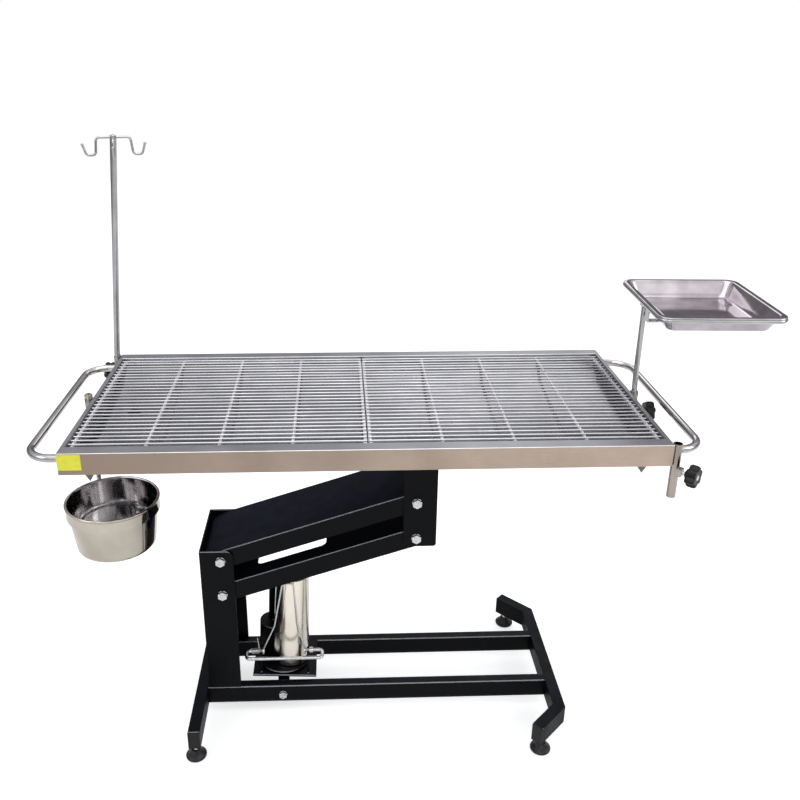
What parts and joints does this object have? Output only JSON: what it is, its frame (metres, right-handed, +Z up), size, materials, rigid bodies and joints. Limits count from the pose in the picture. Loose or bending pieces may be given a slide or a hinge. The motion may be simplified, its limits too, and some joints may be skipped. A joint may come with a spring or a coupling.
{
  "type": "veterinary surgery table",
  "caption": "Steel surgery table with a grille over a draining basin, a parallelogram lift with a foot pump, an infusion pole, an instrument tray and a swing-out bucket.",
  "frame": {"origin": "on the floor below the middle of the bounding box at the lowest lift position", "axes": "+X along the tabletop towards the instrument tray, +Y to the back, +Z up"},
  "size_m": [1.6863, 0.709, 1.4567],
  "materials": {
    "black_paint": "semi-gloss black powder coat",
    "black_plastic": "moulded black plastic",
    "zinc": "zinc-plated steel",
    "satin_steel": "satin stainless steel",
    "tube_steel": "polished stainless tube and bar",
    "polished_steel": "polished stainless sheet",
    "chrome": "chrome plate",
    "yellow_label": "plain yellow film"
  },
  "bodies": {
    "base": {"foot_bar_left": "black_paint", "foot_bar_right": "black_paint", "base_rail_front": "black_paint", "base_rail_rear": "black_paint", "bar_end_caps": "black_plastic", "column": "black_paint", "column_pivot_bolts": "zinc", "foot_lock_nuts": "zinc", "cradle_bolt": "zinc"},
    "lower_arm": {"lower_arm": "black_paint", "lower_arm_sleeves": "zinc", "push_bracket": "black_paint", "ram_pin": "zinc"},
    "upper_arm": {"upper_arm": "black_paint", "upper_arm_sleeves": "zinc"},
    "table": {"table_bracket": "black_paint", "table_pivot_bolts": "zinc", "support_rails": "black_paint", "support_crosses": "black_paint", "edge_stiffeners": "satin_steel", "tray_shell": "satin_steel", "basin": "polished_steel", "drain_spout": "satin_steel", "handle_left": "tube_steel", "handle_right": "tube_steel", "corner_sockets": "satin_steel", "middle_sockets": "satin_steel", "socket_nuts": "satin_steel", "label_plate": "yellow_label"},
    "grille_left": {"grille_frame_left": "tube_steel", "grille_rods_left": "polished_steel"},
    "grille_right": {"grille_frame_right": "tube_steel", "grille_rods_right": "polished_steel"},
    "knob_front_right": {"knob_front_right": "black_plastic", "knob_screw_front_right": "zinc"},
    "knob_rear_left": {"knob_rear_left": "black_plastic", "knob_screw_rear_left": "zinc"},
    "knob_tray": {"knob_tray": "black_plastic", "knob_screw_tray": "zinc"},
    "iv_pole": {"iv_pole": "tube_steel", "iv_pole_spigot": "tube_steel", "iv_hooks": "tube_steel"},
    "tray_arm": {"tray_post": "tube_steel", "tray_holder": "tube_steel"},
    "instrument_tray": {"instrument_tray": "polished_steel"},
    "bucket_arm": {"bucket_hanger": "satin_steel"},
    "bucket": {"bucket": "polished_steel"},
    "pump": {"pump_cradle": "black_paint", "pump_base": "black_paint", "pump_cylinder": "satin_steel", "pump_reservoir": "black_paint", "pedal_spring": "zinc"},
    "ram": {"ram_rod": "chrome", "ram_cover": "chrome"},
    "pedal": {"pedal_tread": "zinc"},
    "release_wire": {"release_wire": "zinc"},
    "foot_front_left": {"levelling_foot_front_left": "black_plastic"},
    "foot_rear_left": {"levelling_foot_rear_left": "black_plastic"},
    "foot_front_right": {"levelling_foot_front_right": "black_plastic"},
    "foot_rear_right": {"levelling_foot_rear_right": "black_plastic"}
  },
  "joints": [
    {"name": "lift", "type": "hinge", "parent": "base", "child": "lower_arm", "pos_m": [-0.46267, -0.01057, 0.3785], "axis": [0, -1, 0], "range_deg": [0, 25]},
    {"name": "upper_arm_swing", "type": "hinge", "parent": "base", "child": "upper_arm", "pos_m": [-0.46267, -0.01057, 0.477], "axis": [0, -1, 0], "range_deg": [0, 25]},
    {"name": "table_level", "type": "hinge", "parent": "lower_arm", "child": "table", "pos_m": [0.02046, -0.01057, 0.53455], "axis": [0, -1, 0], "range_deg": [-25, 0]},
    {"name": "pump_tilt", "type": "hinge", "parent": "base", "child": "pump", "pos_m": [-0.32217, -0.01057, 0.0612], "axis": [0, 1, 0], "range_deg": [-4.2, 0]},
    {"name": "ram_slide", "type": "slide", "parent": "pump", "child": "ram", "axis": [0.048, 0, 0.9988], "range_m": [0, 0.072]},
    {"name": "pedal_swing", "type": "hinge", "parent": "pump", "child": "pedal", "pos_m": [-0.31817, -0.06657, 0.165], "axis": [1, 0, 0], "range_deg": [0, 22], "stiffness_Nm_per_rad": 2, "springref_deg": -17.19},
    {"name": "release_swing", "type": "hinge", "parent": "pump", "child": "release_wire", "pos_m": [-0.31817, -0.06657, 0.165], "axis": [1, 0, 0], "range_deg": [0, 60], "stiffness_Nm_per_rad": 0.6, "springref_deg": -34.38},
    {"name": "grille_left_lift", "type": "slide", "parent": "table", "child": "grille_left", "axis": [0, 0, 1], "range_m": [0, 0.1]},
    {"name": "grille_right_lift", "type": "slide", "parent": "table", "child": "grille_right", "axis": [0, 0, 1], "range_m": [0, 0.1]},
    {"name": "knob_front_right_turn", "type": "hinge", "parent": "table", "child": "knob_front_right", "pos_m": [0.55583, -0.30057, 0.812], "axis": [0.7071, -0.7071, 0], "continuous": true},
    {"name": "knob_rear_left_turn", "type": "hinge", "parent": "table", "child": "knob_rear_left", "pos_m": [-0.76417, 0.27943, 0.823], "axis": [-0.7071, 0.7071, 0], "continuous": true},
    {"name": "knob_tray_turn", "type": "hinge", "parent": "table", "child": "knob_tray", "pos_m": [0.55583, -0.01057, 0.823], "axis": [1, 0, 0], "continuous": true},
    {"name": "iv_pole_lift", "type": "slide", "parent": "table", "child": "iv_pole", "axis": [0, 0, 1], "range_m": [0, 0.09]},
    {"name": "tray_swivel", "type": "hinge", "parent": "table", "child": "tray_arm", "pos_m": [0.55583, -0.01057, 0.876], "axis": [0, 0, 1], "range_deg": [-180, 180]},
    {"name": "tray_lift_off", "type": "slide", "parent": "tray_arm", "child": "instrument_tray", "axis": [0, 0, 1], "range_m": [0, 0.1]},
    {"name": "bucket_swivel", "type": "hinge", "parent": "table", "child": "bucket_arm", "pos_m": [-0.76417, -0.01257, 0.655], "axis": [0, 0, 1], "range_deg": [-100, 75]},
    {"name": "bucket_lift_off", "type": "slide", "parent": "bucket_arm", "child": "bucket", "axis": [0, 0, 1], "range_m": [0, 0.08]},
    {"name": "foot_front_left_level", "type": "slide", "parent": "base", "child": "foot_front_left", "axis": [0, 0, 1], "range_m": [-0.01, 0.004]},
    {"name": "foot_rear_left_level", "type": "slide", "parent": "base", "child": "foot_rear_left", "axis": [0, 0, 1], "range_m": [-0.01, 0.004]},
    {"name": "foot_front_right_level", "type": "slide", "parent": "base", "child": "foot_front_right", "axis": [0, 0, 1], "range_m": [-0.01, 0.004]},
    {"name": "foot_rear_right_level", "type": "slide", "parent": "base", "child": "foot_rear_right", "axis": [0, 0, 1], "range_m": [-0.01, 0.004]}
  ],
  "couplings": [
    {"joint": "upper_arm_swing", "follows": "lift", "ratio": 1},
    {"joint": "table_level", "follows": "lift", "ratio": -1},
    {"joint": "pump_tilt", "follows": "lift", "ratio": -0.1305},
    {"joint": "ram_slide", "follows": "lift", "m_per_rad": 0.1625}
  ]
}
